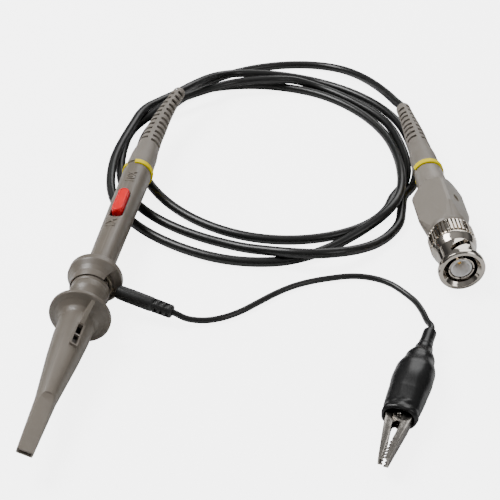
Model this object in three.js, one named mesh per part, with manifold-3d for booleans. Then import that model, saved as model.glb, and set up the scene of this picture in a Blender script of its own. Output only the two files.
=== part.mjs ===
// Passive oscilloscope probe with retractable hook tip, ground lead and bayonet plug.
// Millimetres, +Z up. The probe lies along Y with its hook towards -Y, its cable is
// coiled three turns on the supporting surface at Z = 0.
import * as THREE from 'three';
import { mergeVertices } from 'three/addons/utils/BufferGeometryUtils.js';
import Module from 'manifold-3d';

const wasm = await Module();
wasm.setup();

// ---- driving dimensions: millimetres and degrees ------------------------
const FOOT_X = 51.344; // footprint centre, so the origin sits under the middle
const FOOT_Y = 66.424;
const LIFT = 0.013; // brings the lowest rim onto Z = 0

const GUARD_R = 9.1; // hook sleeve finger guard
const PROBE_AXIS_Z = GUARD_R; // the finger guard rests on the surface
const BODY_GUARD_R = 8.35; // probe body finger guard
const BARREL_R0 = 4.15; // barrel radius at the guard
const BARREL_R1 = 4.85; // barrel radius at the marker ring
const HOOK_TIP_Y = -56;
const SLEEVE_ROLL = 22; // turn of the hook sleeve about the probe axis
const WINDOW_TURN = 13; // window and gusset, turned on from the flats
const SWITCH_ROLL = -1;
const SWITCH_SLOT_Y = 53.9;
const SWITCH_KNOB_Y = SWITCH_SLOT_Y + 1; // the knob is pushed towards the cable

const CABLE_R = 1.6;
const LEAD_R = 0.95;
const RELIEF_ROOT_R = 4.75; // both strain reliefs at their thick end

const COUPLING_R = 7.25; // bayonet coupling outer radius
const PLUG_POS = [109.3, 38.7, 7.3];
const PLUG_TURN = 11.5; // about Z
const PLUG_TILT = 2.2; // the plug leans nose-down on its rim
const BOX_ROLL = -43; // turn of the compensation housing about the plug axis
const TRIMMER_Y = 33;

const CLIP_POS = [91.9, -26.7, 4.8];
const CLIP_TURN = -12; // about Z

// ---- centrelines: [x, y, z] before the footprint is centred -------------
// cable from inside the probe's end to the tip of its strain relief
const BOOT_CURVE = [
  [0, 73.5, 9.1], [0, 78, 9.1], [0, 84, 9.1], [0.05, 92, 9.15],
  [0.35, 104, 9.55], [1.25, 116, 10.45], [2.75, 126, 11.55], [4.75, 135.2, 12.5],
];
// cable from the probe's strain relief round to the plug's
const COIL = [
  [6.57, 138.83, 12.38], [9.55, 146.16, 11.25], [12.4, 154, 9.48], [15.95, 161.16, 7.58],
  [21, 166.47, 6.07], [28.09, 169.1, 5.31], [36.29, 170.34, 4.67], [44.09, 172.19, 3.18],
  [51.39, 172.56, 1.97], [58.72, 170.17, 1.68], [65.77, 166.45, 1.6], [72.34, 161.63, 1.6],
  [78.23, 155.89, 1.62], [83.22, 149.44, 1.67], [87.14, 142.5, 1.7], [89.98, 135.2, 1.68],
  [92.01, 127.64, 1.63], [93.54, 119.91, 1.6], [94.6, 111.96, 1.6], [94.88, 103.79, 1.67],
  [93.7, 95.64, 1.83], [90.77, 87.96, 2.05], [90.29, 79.7, 1.91], [89.76, 72.05, 1.69],
  [87.06, 64.98, 1.6], [82.82, 58.34, 2.07], [77.46, 52.27, 3.47], [71.12, 47.56, 4.89],
  [63.93, 45, 5.46], [56.29, 44.92, 5.21], [48.64, 46.99, 3.92], [41.14, 49.92, 2.3],
  [33.71, 52.62, 1.62], [26.37, 55, 1.65], [19.13, 58.06, 1.79], [12.13, 62.24, 1.78],
  [5.68, 67.39, 1.69], [0.08, 73.34, 1.61], [-4.38, 79.9, 1.6], [-7.58, 86.96, 1.6],
  [-9.67, 94.45, 1.6], [-11.05, 102.29, 1.61], [-11.85, 110.45, 1.67], [-12, 118.78, 1.6],
  [-10.59, 126.53, 1.7], [-6.55, 132.82, 3.09], [-1.48, 138.55, 5.08], [3.98, 144.37, 5.37],
  [9.48, 150.22, 5.25], [15.41, 155.89, 5.05], [22.07, 160.35, 5.09], [29.58, 162.58, 5.49],
  [37.49, 164.41, 5.48], [45.3, 166.89, 4.44], [52.82, 167.16, 2.56], [59.91, 164.42, 1.77],
  [66.56, 159.61, 1.64], [72.73, 153.92, 1.7], [78.27, 148.02, 1.67], [82.8, 141.63, 1.61],
  [86.05, 134.45, 1.6], [88.39, 126.66, 1.6], [90.23, 118.63, 1.6], [91.29, 110.68, 1.6],
  [91.42, 103, 1.6], [90.16, 95.54, 1.6], [87.29, 88, 1.6], [85.42, 80.24, 1.6],
  [82.05, 73.34, 1.6], [77.05, 67.47, 1.6], [70.71, 62.8, 1.6], [63.46, 59.42, 1.6],
  [55.7, 57.4, 1.6], [47.77, 56.83, 1.6], [39.98, 57.72, 1.6], [32.44, 59.97, 1.6],
  [25.28, 63.42, 1.6], [18.59, 67.91, 1.6], [12.49, 73.31, 1.6], [7.08, 79.46, 1.6],
  [2.46, 86.22, 1.6], [-1.25, 93.43, 1.6], [-3.94, 100.95, 1.6], [-5.5, 108.64, 1.6],
  [-5.94, 116.42, 1.6], [-5.26, 124.25, 1.6], [-3.44, 132.07, 1.6], [-1.41, 139.92, 1.6],
  [1.15, 147.66, 1.62], [4.99, 154.71, 1.63], [10.61, 160.01, 1.61], [17.69, 163.46, 1.6],
  [25.4, 165.53, 1.6], [33.36, 166.27, 1.6], [41.35, 165.59, 1.6], [49.13, 163.87, 1.63],
  [56.47, 160.93, 1.64], [63.24, 156.69, 1.61], [69.36, 151.41, 1.6], [74.74, 145.36, 1.6],
  [79.28, 138.75, 1.6], [82.85, 131.79, 1.71], [85.4, 124.55, 2.02], [87.2, 117.07, 2.61],
  [88.49, 109.32, 3.5], [89.33, 101.27, 4.56], [89.78, 93.03, 5.11], [89.31, 84.82, 5.51],
  [87.51, 77.03, 5.71], [83.99, 70.21, 5.11], [78.88, 64.42, 3.67], [73.04, 59.03, 2.29],
  [67.09, 53.62, 1.69], [60.78, 48.76, 1.61], [53.68, 45.19, 1.6], [45.71, 43.55, 1.6],
  [37.72, 43.46, 1.61], [29.98, 44.71, 1.7], [22.49, 47.19, 1.8], [15.26, 50.78, 1.79],
  [8.41, 55.35, 1.68], [2.2, 60.77, 1.6], [-3.11, 66.91, 1.6], [-7.24, 73.65, 1.74],
  [-10.02, 80.86, 2.33], [-11.59, 88.44, 3.27], [-12.22, 96.29, 4.41], [-11.92, 104.35, 5.14],
  [-11.19, 112.51, 5.56], [-10.39, 120.68, 5.7], [-9.7, 128.79, 5.55], [-8.25, 136.68, 4.61],
  [-5.65, 144.09, 3.22], [-2.23, 151.14, 2.23], [2.26, 157.73, 1.74], [7.43, 163.92, 1.6],
  [12.93, 169.75, 1.6], [18.88, 175.06, 1.65], [25.43, 179.7, 1.7], [32.67, 183.52, 1.66],
  [40.41, 186.2, 1.6], [48.26, 187.39, 1.6], [55.82, 186.7, 1.77], [62.72, 183.75, 2.28],
  [68.65, 178.44, 3.21], [73.59, 171.57, 4.44], [77.61, 164.11, 5.85], [80.76, 156.92, 7.28],
  [83.4, 149.98, 8.67], [85.96, 142.86, 9.96],
];
// ground wire between its moulded boot and the clip
const LEAD_PATH = [
  [28.82, 11.29, 2.2], [33.92, 12.5, 1.1], [38.96, 14.6, 1], [43.83, 18.27, 1],
  [48.56, 23.43, 1], [53.41, 28.76, 1], [58.44, 33.16, 1], [63.7, 36.32, 1],
  [69.05, 38.61, 1], [74.51, 40.39, 1], [78.93, 40.86, 1], [83.97, 40.02, 1],
  [88.43, 37.79, 1], [92.35, 34.07, 1], [95.67, 29.56, 1.3], [97.78, 23.76, 2.2],
  [99.04, 17.99, 3.4],
];

// ---- finishes -----------------------------------------------------------
const GREY = 0x8a8378, BLACK = 0x1c1c1c, STEEL = 0xb9b6b0, BRASS = 0xc9a24a;
const plastic = (color, roughness) => ({ color, roughness, metalness: 0 });
const metal = (color, roughness) => ({ color, roughness, metalness: 1 });
const FINISH = {
  greyShell: plastic(GREY, 0.45),
  greyRubber: plastic(GREY, 0.6),
  carrier: plastic(0x9c958a, 0.5),
  noseInsulator: plastic(0x2a2a2a, 0.5),
  yellow: plastic(0xe8d21e, 0.4),
  red: plastic(0xd8262c, 0.4),
  board: plastic(0x2f6b3a, 0.6),
  resistor: plastic(0x6fa3c0, 0.5),
  capacitor: plastic(0x7f6a9c, 0.5),
  white: plastic(0xf1f0ee, 0.35),
  gasket: plastic(0x303030, 0.8),
  cable: plastic(BLACK, 0.35),
  wire: plastic(BLACK, 0.4),
  leadBoot: plastic(BLACK, 0.6),
  clipBoot: plastic(0x161616, 0.35),
  steel: metal(STEEL, 0.3),
  smoothSteel: metal(STEEL, 0.25),
  polishedSteel: metal(STEEL, 0.22),
  brass: metal(BRASS, 0.3),
  polishedBrass: metal(BRASS, 0.2),
  dullBrass: metal(BRASS, 0.35),
};

// ---- solids -------------------------------------------------------------
const D2R = Math.PI / 180;
const X_AXIS = new THREE.Vector3(1, 0, 0);
const Y_AXIS = new THREE.Vector3(0, 1, 0);
const Z_AXIS = new THREE.Vector3(0, 0, 1);

// shared-vertex closed mesh with its faces pointing out
function clean(geo) {
  const bare = new THREE.BufferGeometry();
  bare.setAttribute('position', geo.attributes.position);
  bare.setIndex(geo.index);
  const merged = mergeVertices(bare, 1e-4);
  const index = merged.index.array, keep = [];
  for (let i = 0; i < index.length; i += 3) {
    const [a, b, c] = [index[i], index[i + 1], index[i + 2]];
    if (a !== b && b !== c && a !== c) keep.push(a, b, c);
  }
  const corner = (i) => new THREE.Vector3().fromBufferAttribute(merged.attributes.position, keep[i]);
  let volume = 0;
  for (let i = 0; i < keep.length; i += 3) {
    volume += corner(i).dot(corner(i + 1).cross(corner(i + 2)));
  }
  if (volume < 0) {
    for (let i = 0; i < keep.length; i += 3) [keep[i + 1], keep[i + 2]] = [keep[i + 2], keep[i + 1]];
  }
  merged.setIndex(keep);
  return merged;
}
function toManifold(geo) {
  const closed = clean(geo);
  return new wasm.Manifold(new wasm.Mesh({
    numProp: 3,
    vertProperties: new Float32Array(closed.attributes.position.array),
    triVerts: new Uint32Array(closed.index.array),
  }));
}
function fromManifold(manifold) {
  const { vertProperties, triVerts } = manifold.getMesh();
  const geo = new THREE.BufferGeometry();
  geo.setAttribute('position', new THREE.BufferAttribute(new Float32Array(vertProperties), 3));
  geo.setIndex(new THREE.BufferAttribute(new Uint32Array(triVerts), 1));
  return geo;
}
function cut(base, ...tools) {
  return fromManifold(tools.reduce((m, tool) => m.subtract(toManifold(tool)), toManifold(base)));
}
function join(base, ...parts) {
  return fromManifold(parts.reduce((m, part) => m.add(toManifold(part)), toManifold(base)));
}
// profile of [radius, y], closed back to its first point and turned about Y
function lathe(profile, segments = 32) {
  const points = [...profile, profile[0]].map(([r, y]) => new THREE.Vector2(r, y));
  return clean(new THREE.LatheGeometry(points, segments));
}
function ring(outerR, innerR, y0, y1, segments = 32) {
  return lathe([[innerR, y0], [outerR, y0], [outerR, y1], [innerR, y1]], segments);
}
// ring with a gap on its +Z side, turned about Y
function splitRing(outerR, innerR, y0, y1, gapWidth, turn) {
  const gap = box(gapWidth, 6, 4, 0, (y0 + y1) / 2, 5);
  return cut(ring(outerR, innerR, y0, y1), turnY(gap, turn));
}
// sizes along X, Y and Z, then the centre
function box(width, length, height, x = 0, y = 0, z = 0) {
  return new THREE.BoxGeometry(width, length, height).translate(x, y, z);
}
function pegX(r, length, segments, x, y) {
  const peg = new THREE.CylinderGeometry(r, r, length, segments);
  return peg.rotateZ(Math.PI / 2).translate(x, y, 0);
}
function pegZ(r, length) {
  return new THREE.CylinderGeometry(r, r, length, 16).rotateX(Math.PI / 2);
}
const outline = (points) => new THREE.Shape(points.map(([a, b]) => new THREE.Vector2(a, b)));
// [x, y] polygon drawn to a thickness along Z
function slab(points, thickness, centreZ = 0) {
  const geo = new THREE.ExtrudeGeometry(outline(points), { depth: thickness, bevelEnabled: false });
  return geo.translate(0, 0, centreZ - thickness / 2);
}
// [y, z] polygon drawn to a thickness along X
function slabYZ(points, thickness) {
  const toYZ = new THREE.Matrix4().set(0, 0, 1, 0, 1, 0, 0, 0, 0, 1, 0, 0, 0, 0, 0, 1);
  return slab(points, thickness).applyMatrix4(toYZ);
}
// rounded slot outline along Y
function stadium(width, length, centreY) {
  const r = width / 2, steps = 8, points = [];
  for (const end of [1, -1]) {
    for (let i = 0; i <= steps; i++) {
      const a = Math.PI * i / steps;
      points.push([end * r * Math.cos(a), centreY + end * (length / 2 - r + r * Math.sin(a))]);
    }
  }
  return points;
}
function turnY(geo, degrees) {
  return geo.clone().rotateY(degrees * D2R);
}
// skin over rings of equal count: joined last to first, or capped at both ends
function loft(rings, closeLoop) {
  const sides = rings[0].length, count = rings.length;
  const positions = rings.flat().flatMap((v) => [v.x, v.y, v.z]);
  const index = [];
  for (let i = 0; i < (closeLoop ? count : count - 1); i++) {
    const here = i * sides, next = ((i + 1) % count) * sides;
    for (let j = 0; j < sides; j++) {
      const k = (j + 1) % sides;
      index.push(here + j, here + k, next + k, here + j, next + k, next + j);
    }
  }
  if (!closeLoop) {
    for (const end of [0, count - 1]) {
      const centre = new THREE.Vector3();
      for (const v of rings[end]) centre.addScaledVector(v, 1 / sides);
      const hub = positions.length / 3;
      positions.push(centre.x, centre.y, centre.z);
      for (let j = 0; j < sides; j++) {
        const a = end * sides + j, b = end * sides + (j + 1) % sides;
        index.push(hub, ...(end === 0 ? [b, a] : [a, b]));
      }
    }
  }
  const geo = new THREE.BufferGeometry();
  geo.setAttribute('position', new THREE.Float32BufferAttribute(positions, 3));
  geo.setIndex(index);
  return clean(geo);
}
// frames carried along a line without twist
function frames(points, firstSide) {
  let side = firstSide;
  return points.map((point, i) => {
    const before = points[Math.max(i - 1, 0)];
    const after = points[Math.min(i + 1, points.length - 1)];
    const along = after.clone().sub(before).normalize();
    side = side.clone().addScaledVector(along, -side.dot(along)).normalize();
    return { point, along, side, cross: along.clone().cross(side) };
  });
}
// round section along a line; with boreR it is a tube
function sweep(points, radiusAt, sides, { firstSide = Z_AXIS, boreR = null } = {}) {
  const stations = frames(points, firstSide);
  const circle = (f, r) => Array.from({ length: sides }, (_, j) => {
    const a = 2 * Math.PI * j / sides;
    return f.point.clone()
      .addScaledVector(f.side, r * Math.cos(a))
      .addScaledVector(f.cross, r * Math.sin(a));
  });
  const outer = stations.map((f, i) => circle(f, radiusAt(i / (stations.length - 1))));
  if (boreR === null) return loft(outer, false);
  const inner = stations.map((f) => circle(f, boreR)).reverse();
  return loft([...outer, ...inner], true);
}
// wire spring of points [r cos, r sin, along], put in place by toPoint
function spring({ coilR, wireR, turns, steps, start, rise, toPoint }) {
  const points = Array.from({ length: steps + 1 }, (_, i) => {
    const a = 2 * Math.PI * turns * i / steps;
    return toPoint(coilR * Math.cos(a), coilR * Math.sin(a), start + rise * i / steps);
  });
  return sweep(points, () => wireR, 4, { firstSide: X_AXIS });
}
// closed shell over superellipse rows of [y, half X, half Z, exponent]
function ovalShell(rows, sides, commonExponent) {
  const power = (c, e) => Math.sign(c) * Math.abs(c) ** (2 / e);
  return loft(rows.map(([y, halfX, halfZ, e = commonExponent]) =>
    Array.from({ length: sides }, (_, j) => {
      const a = 2 * Math.PI * (j + 0.5) / sides;
      return new THREE.Vector3(halfX * power(Math.cos(a), e), y, halfZ * power(Math.sin(a), e));
    })), true);
}
const toVectors = (list) => list.map((xyz) => new THREE.Vector3(...xyz));
// count + 1 evenly spaced points on a smooth curve
function spline(points, count, arcLengthDivisions = 200) {
  const curve = new THREE.CatmullRomCurve3(points, false, 'centripetal');
  curve.arcLengthDivisions = arcLengthDivisions;
  return curve.getSpacedPoints(count);
}
function addPart(parent, name, geo, finish) {
  if (!geo.attributes.normal) geo.computeVertexNormals();
  const part = new THREE.Mesh(geo, new THREE.MeshStandardMaterial(finish));
  part.name = name;
  parent.add(part);
}

// ---- groups -------------------------------------------------------------
const root = new THREE.Group();
root.position.set(-FOOT_X, -FOOT_Y, LIFT);

const probe = new THREE.Group();
probe.position.set(0, 0, PROBE_AXIS_Z);

// local -Y is the mating direction, Y = 0 is the coupling's front rim
const plug = new THREE.Group();
plug.position.set(...PLUG_POS);
plug.rotation.order = 'ZXY';
plug.rotation.set(PLUG_TILT * D2R, 0, PLUG_TURN * D2R);
plug.updateMatrix();

// jaws open towards local -Y, the pivot is the origin
const clip = new THREE.Group();
clip.position.set(...CLIP_POS);
clip.rotation.z = CLIP_TURN * D2R;
clip.updateMatrix();

root.add(probe, plug);
const pointIn = (group, x, y, z) => new THREE.Vector3(x, y, z).applyMatrix4(group.matrix);

// =========================================================================
// Probe
// =========================================================================
// flared guard, grip neck, tapering nose with two flats, window and gusset
function hookSleeve() {
  const body = lathe([
    [0.45, HOOK_TIP_Y], [2.25, HOOK_TIP_Y], [2.9, -37], [4.5, -20], [5.15, -10.5], [5.2, -3.6],
    [5.9, -2.4], [7.3, -1.4], [8.9, -0.8], [GUARD_R, -0.5], [GUARD_R, 0.55], [8.7, 0.9],
    [6.4, 2], [5.3, 3.1], [4.95, 4.6], [5.35, 6.9], [5.75, 8.6], [5.85, 9.8], [5.7, 10.8],
    [5.85, 11.3], [5.85, 12.2],
    [3.95, 12.2], [3.95, -12], [2.5, -13.2], [2.5, -36], [0.45, -37.4],
  ], 28);
  const pastTip = HOOK_TIP_Y - 1;
  const flat = slabYZ([[-36.2, 3.2], [-38.4, 2.15], [pastTip, 0.78], [pastTip, 7], [-36.2, 7]], 14);
  const mouth = box(3.3, 3, 0.86, 0, HOOK_TIP_Y + 0.6, 0);
  const window = turnY(box(1.6, 8, 4, 0, -13.4, 5), WINDOW_TURN);
  const gusset = slabYZ([[-0.9, 4.4], [-0.9, 8.2], [-1.8, 7.9], [-9.3, 5.4], [-9.3, 4.4]], 1.1);
  const ribbed = join(body, turnY(gusset, WINDOW_TURN));
  return turnY(cut(ribbed, flat, turnY(flat, 180), mouth, window), SLEEVE_ROLL);
}
addPart(probe, 'hook_sleeve', hookSleeve(), FINISH.greyShell);

// inner carrier that grips the probe nose and holds the hook
addPart(probe, 'hook_carrier', lathe([
  [0.42, -22], [2.2, -22], [2.2, -8.7], [3.7, -7.2], [3.7, 8],
  [3.15, 8], [3.15, -6.7], [1.75, -8.2], [1.75, -19.4], [0.42, -20.4],
], 24), FINISH.carrier);

// straight shank turned up into a J inside the mouth
const HOOK_LINE = [
  [0, -20.6, 0], [0, -30, 0], [0, -40, 0], [0, -50, 0], [0, -54.2, 0],
  [0.25, -54.95, 0], [0.8, -55.3, 0], [1.2, -54.9, 0], [1.25, -54.35, 0],
];
const hookWire = sweep(toVectors(HOOK_LINE), () => 0.27, 8);
addPart(probe, 'hook_wire', turnY(hookWire, SLEEVE_ROLL), FINISH.steel);

// return spring between the carrier and the sleeve shoulder
addPart(probe, 'hook_spring', spring({
  coilR: 1.5, wireR: 0.2, turns: 6, steps: 48, start: -31.4, rise: 9,
  toPoint: (a, b, along) => new THREE.Vector3(a, along, b),
}), FINISH.steel);

addPart(probe, 'nose_insulator', lathe([
  [0.5, -15.2], [0.8, -15.2], [1.5, -12.5], [1.5, 25], [0.5, 25],
], 16), FINISH.noseInsulator);
addPart(probe, 'contact_needle', lathe([
  [0, -18.9], [0.12, -18.7], [0.36, -17.4], [0.36, 27], [0, 27],
], 12), FINISH.smoothSteel);
addPart(probe, 'ground_barrel', lathe([
  [1.7, -6.3], [2.95, -6.3], [2.95, 14.35], [5, 14.35], [5, 16.15],
  [3.1, 16.15], [3.1, 26], [1.7, 26],
]), FINISH.steel);

// moulding with finger guard, slot for the slide switch and a seat for the marker ring
function barrelShell() {
  const body = lathe([
    [3.45, 16.45], [6.1, 16.45], [6.1, 12.8], [6.4, 12.8], [6.7, 14.2], [7.3, 15.7], [8.15, 17],
    [BODY_GUARD_R, 17.4], [BODY_GUARD_R, 19.3], [7.9, 19.8], [5.3, 20.5], [4.35, 22],
    [BARREL_R0, 25], [BARREL_R1, 76], [BARREL_R1, 78.7], [4.4, 78.7], [4.4, 81.2], [3.45, 81.2],
  ]);
  const slot = slab(stadium(4.3, 16, SWITCH_SLOT_Y), 6, 5);
  // the skirt round the ground collar is open on one side, where the ground lead comes out
  const notch = box(6, 5.3, 8.7, 7, 14.65, 0.15);
  return cut(turnY(cut(body, slot), SWITCH_ROLL), notch);
}
addPart(probe, 'barrel_shell', barrelShell(), FINISH.greyShell);
addPart(probe, 'marker_ring_probe', splitRing(5.3, 4.55, 78.9, 81.05, 4, -28), FINISH.yellow);

// slide switch, and the circuit under it
const addSwitchPart = (name, geo, finish) => addPart(probe, name, turnY(geo, SWITCH_ROLL), finish);
addSwitchPart('switch_knob', slab(stadium(3.7, 13.4, SWITCH_KNOB_Y), 4.8, 3.3), FINISH.red);
addSwitchPart('switch_wiper', box(3, 6, 0.3, 0, SWITCH_KNOB_Y, 0.62), FINISH.brass);
addSwitchPart('attenuator_board', box(5.6, 44, 1, 0, 50, -0.2), FINISH.board);
const resistor = lathe([[0, 31], [0.9, 31], [0.9, 38], [0, 38]], 12).translate(0, 0, 1.3);
addSwitchPart('input_resistor', resistor, FINISH.resistor);

// =========================================================================
// Plug assembly
// =========================================================================
function knurl() {
  const ridges = 24;
  const star = Array.from({ length: 2 * ridges }, (_, i) => {
    const a = Math.PI * i / ridges, r = i % 2 ? 6.95 : 7.32;
    return [r * Math.cos(a), r * Math.sin(a)];
  });
  const shape = outline(star);
  shape.holes.push(new THREE.Path().absarc(0, 0, 6.3, 0, 2 * Math.PI, true));
  const options = { depth: 5.4, bevelEnabled: false, curveSegments: 6 };
  return new THREE.ExtrudeGeometry(shape, options).rotateX(-Math.PI / 2).translate(0, 12.5, 0);
}
function couplingSleeve() {
  const body = lathe([
    [4.95, 1.1], [5.7, 0.3], [5.9, 0], [6.9, 0], [COUPLING_R, 0.35], [COUPLING_R, 1.9],
    [6.85, 2.4], [6.2, 3], [6.15, 8.8], [6.6, 10.2], [7, 11.2], [7, 18.2], [6.7, 18.6],
    [4.95, 18.6], [4.95, 15.7], [5.8, 15.7], [5.8, 12.2], [4.95, 12.2],
  ], 24);
  // two helical lug slots through the waist, each a chain of holes with a wider last one
  const holes = [];
  for (const start of [60, 240]) {
    for (let k = 0; k < 4; k++) {
      const hole = pegX(k === 3 ? 1.3 : 1.05, 3.4, 8, 5.9, 4.5 + 0.95 * k);
      holes.push(turnY(hole, start + 17 * k));
    }
  }
  return cut(join(body, knurl()), ...holes);
}
addPart(plug, 'coupling_sleeve', couplingSleeve(), FINISH.polishedSteel);

// front end is slit crosswise into four fingers
function plugContactBody() {
  const body = lathe([
    [3.55, 1.2], [4.02, 1.2], [4.02, 10.4], [4.65, 10.4], [4.65, 12.6], [5.45, 12.6],
    [5.45, 14.1], [4.65, 14.1], [4.65, 23.5], [2.6, 23.5], [2.6, 12.1], [3.55, 12.1],
  ]);
  return cut(body, box(0.4, 7.5, 12, 0, 4, 0), box(12, 7.5, 0.4, 0, 4, 0));
}
addPart(plug, 'plug_contact_body', plugContactBody(), FINISH.smoothSteel);
addPart(plug, 'plug_insulator', lathe([
  [3.3, 2], [3.3, 11.8], [0.8, 11.8], [0.8, 8.5], [1.9, 5.5], [2.75, 2],
], 28), FINISH.white);
addPart(plug, 'plug_pin', lathe([
  [0, 4.2], [0.35, 4.3], [0.62, 4.8], [0.62, 22.5], [0, 22.5],
], 14), FINISH.polishedBrass);
addPart(plug, 'plug_gasket', ring(4.82, 4.12, 9, 10.2, 24), FINISH.gasket);
addPart(plug, 'coupling_spring_washer', ring(5.6, 4.9, 14.35, 15.45, 24), FINISH.steel);

// round collar, square box and round neck; the outside runs to +Y, the inside back
const HOUSING_ROWS = [
  [19.3, 6.2, 6.2], [20.6, 6.45, 6.45, 2.1], [26.5, 6.5, 6, 7], [45, 6.3, 5.8, 7],
  [47.6, 5.1, 5.1, 2.6], [48.8, 4.95, 4.95], [53.7, 4.85, 4.85], [53.7, 4.4, 4.4],
  [56.3, 4.4, 4.4],
  [56.3, 2, 2], [50, 2, 2], [48, 3.6, 3.6, 2.2], [45, 5, 4.5, 6],
  [26.8, 5.1, 4.6, 6], [24.2, 4.95, 4.95], [19.3, 4.95, 4.95],
];
const addBoxPart = (name, geo, finish) => addPart(plug, name, turnY(geo, BOX_ROLL), finish);
const housing = cut(ovalShell(HOUSING_ROWS, 24, 2), pegX(1.5, 4, 16, 6, TRIMMER_Y));
addBoxPart('compensation_housing', housing, FINISH.greyShell);
// trimmer with a screwdriver slot, its capacitor and the board behind it
const trimmer = cut(pegX(1.15, 2.1, 16, 4.35, TRIMMER_Y), box(1, 3, 0.4, 5.2, TRIMMER_Y, 0));
addBoxPart('trimmer_screw', trimmer, FINISH.brass);
addBoxPart('trimmer_capacitor', box(2.6, 4.6, 4.6, 1.9, TRIMMER_Y, 0), FINISH.capacitor);
addBoxPart('compensation_board', box(1, 16.5, 7.6, 0, 35.2, 0), FINISH.board);
addPart(plug, 'marker_ring_plug', splitRing(5.4, 4.55, 53.95, 56.1, 5.6, -100), FINISH.yellow);

// =========================================================================
// Signal cable and its two strain reliefs, drawn on one centreline
// =========================================================================
const bootLine = toVectors(BOOT_CURVE);
// from inside the plug out to the tip of its strain relief
const plugLine = [
  ...[47, 52, 58, 66, 75].map((y) => pointIn(plug, 0, y, 0)),
  pointIn(plug, -0.35, 88, 0), pointIn(plug, -0.9, 99, 0.15),
];
const cableLine = [...bootLine, ...toVectors(COIL), ...plugLine.toReversed()];
const cable = sweep(spline(cableLine, 184, 2400), () => CABLE_R, 6, { firstSide: X_AXIS });
addPart(root, 'signal_cable', cable, FINISH.cable);

// tapered strain relief with four columns of staggered slots
function strainRelief(points, { tipR, firstSlot, pitch, count, roll }) {
  const slotDepth = 0.85, toolHeight = 3;
  // [fraction of length, radius]
  const taper = [
    [0, RELIEF_ROOT_R], [0.14, RELIEF_ROOT_R - 0.15], [0.3, RELIEF_ROOT_R - 0.95],
    [0.42, RELIEF_ROOT_R - 1.2], [0.985, tipR], [1, tipR - 0.25],
  ];
  const radiusAt = (fraction) => {
    const next = taper.findIndex(([end], i) => i > 0 && fraction <= end);
    const [a, radiusA] = taper[next - 1], [b, radiusB] = taper[next];
    return radiusA + (radiusB - radiusA) * (fraction - a) / (b - a);
  };
  const stations = frames(points, Z_AXIS), lengths = [0];
  for (let i = 1; i < points.length; i++) {
    lengths.push(lengths[i - 1] + points[i].distanceTo(points[i - 1]));
  }
  const slots = [];
  for (let column = 0; column < 4; column++) {
    const a = (roll + 45 + 90 * column) * D2R;
    for (let k = 0; k < count; k++) {
      const distance = firstSlot + pitch * (k + (column % 2 ? 0.5 : 0));
      const i = lengths.findIndex((length) => length > distance);
      const blend = (distance - lengths[i - 1]) / (lengths[i] - lengths[i - 1]);
      const { along, side, cross } = stations[i];
      const out = side.clone().multiplyScalar(Math.cos(a)).addScaledVector(cross, Math.sin(a));
      const r = radiusAt(distance / lengths.at(-1));
      const centre = points[i - 1].clone().lerp(points[i], blend)
        .addScaledVector(out, r - slotDepth + toolHeight / 2);
      const place = new THREE.Matrix4().makeBasis(out.clone().cross(along), along, out);
      slots.push(box(r * 0.98, 1.25, toolHeight).applyMatrix4(place.setPosition(centre)));
    }
  }
  return cut(sweep(points, radiusAt, 12, { boreR: CABLE_R + 0.3 }), ...slots);
}
// every step-th point and the last
const thin = (line, step) => line.filter((_, i) => i % step === 0 || i === line.length - 1);

const probeReliefLine = thin(spline(bootLine, 90).filter((p) => p.y > 81.4), 7);
addPart(root, 'strain_relief_probe', strainRelief(probeReliefLine, {
  tipR: 2.45, firstSlot: 20.5, pitch: 4.1, count: 8, roll: 8,
}), FINISH.greyRubber);

const reliefStart = pointIn(plug, 0, 56.6, 0);
const plugAxis = Y_AXIS.clone().transformDirection(plug.matrix);
const pastStart = (p) => p.clone().sub(reliefStart).dot(plugAxis) > 0;
const plugReliefLine = thin(spline(plugLine, 90).filter(pastStart), 9);
addPart(root, 'strain_relief_plug', strainRelief(plugReliefLine, {
  tipR: 2.6, firstSlot: 15.5, pitch: 4, count: 6, roll: 0,
}), FINISH.greyRubber);

// =========================================================================
// Ground lead: split collar on the ground barrel, moulded boot, wire and clip
// =========================================================================
const LEAD_START = new THREE.Vector3(6.2, 15.35, -1.55); // in the probe's frame
const LEAD_AIM = new THREE.Vector3(24.6, 11.5, -5.1);
const leadDir = LEAD_AIM.clone().sub(LEAD_START).normalize();
const leadPoint = (distance) => LEAD_START.clone().addScaledVector(leadDir, distance);

function groundCollar() {
  const across = Z_AXIS.clone().cross(leadDir).normalize();
  const place = new THREE.Matrix4().makeBasis(across, leadDir, across.clone().cross(leadDir));
  const tab = box(0.5, 5.2, 1.4).applyMatrix4(place.setPosition(leadPoint(1.7)));
  return join(splitRing(5.9, 5.2, 14.6, 16.15, 3, -60), tab);
}
addPart(probe, 'ground_collar', groundCollar(), FINISH.dullBrass);

const leadBoot = lathe([
  [1.12, 1.2], [1.9, 1.2], [2.15, 1.9], [2.25, 5.5], [2.2, 12.4],
  [2, 13.2], [2, 18.6], [1.6, 19.1], [1.12, 19.1],
], 20);
leadBoot.applyQuaternion(new THREE.Quaternion().setFromUnitVectors(Y_AXIS, leadDir));
leadBoot.translate(...LEAD_START);
addPart(probe, 'ground_lead_boot', leadBoot, FINISH.leadBoot);

const wireLine = [
  ...[5.2, 12, 19.4].map((distance) => leadPoint(distance).add(probe.position)),
  ...toVectors(LEAD_PATH),
  ...[[0, 40.5], [0, 35], [0.1, 28], [1, 21], [2.2, 15.6]].map(([x, y]) => pointIn(clip, x, y, 0)),
];
addPart(root, 'ground_wire', sweep(spline(wireLine, 56), () => LEAD_R, 6), FINISH.wire);

root.add(clip);
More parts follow.
